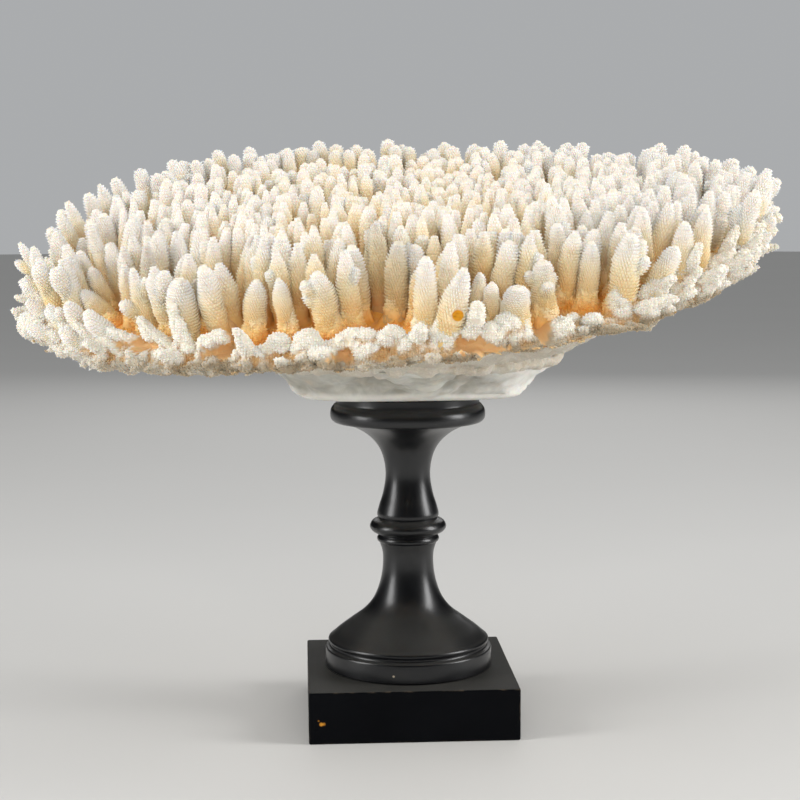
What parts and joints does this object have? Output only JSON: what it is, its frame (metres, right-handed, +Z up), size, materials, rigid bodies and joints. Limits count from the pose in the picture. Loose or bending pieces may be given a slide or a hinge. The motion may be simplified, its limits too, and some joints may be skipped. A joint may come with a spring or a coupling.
{
  "type": "table coral on stand",
  "caption": "Tilted plate of white table coral with dense upright branchlets, resting on a turned black wooden pedestal with a square plinth.",
  "frame": {"origin": "middle of the plinth's underside, on the surface that the stand rests on", "axes": "+Z up along the pedestal's turning axis; -Y is the front, square to a face of the plinth; +X is to the right seen from the front"},
  "size_m": [0.4486, 0.3933, 0.3425],
  "materials": {
    "plinth_wood": "ebonised, satin, dusty on top, edges a little worn, one chip showing warm wood",
    "pedestal_wood": "turned and ebonised, satin lacquer with soft highlights",
    "coral_foot": "bare grey-white limestone, matte, smooth hollows",
    "coral_limb": "matte skeleton, peach to orange in the hollows, off-white at the rim",
    "coral_branchlets": "matte off-white skeleton with rows of small cups, peach at the base"
  },
  "bodies": {
    "root": {"plinth": "plinth_wood", "pedestal": "pedestal_wood", "coral_foot": "coral_foot", "limb_front": "coral_limb", "limb_front_right": "coral_limb", "limb_right": "coral_limb", "limb_back_right": "coral_limb", "limb_back": "coral_limb", "limb_back_left": "coral_limb", "limb_left": "coral_limb", "limb_front_left": "coral_limb", "branchlets_centre": "coral_branchlets", "branchlets_front": "coral_branchlets", "branchlets_front_right": "coral_branchlets", "branchlets_right": "coral_branchlets", "branchlets_back_right": "coral_branchlets", "branchlets_back": "coral_branchlets", "branchlets_back_left": "coral_branchlets", "branchlets_left": "coral_branchlets", "branchlets_front_left": "coral_branchlets"}
  },
  "joints": []
}
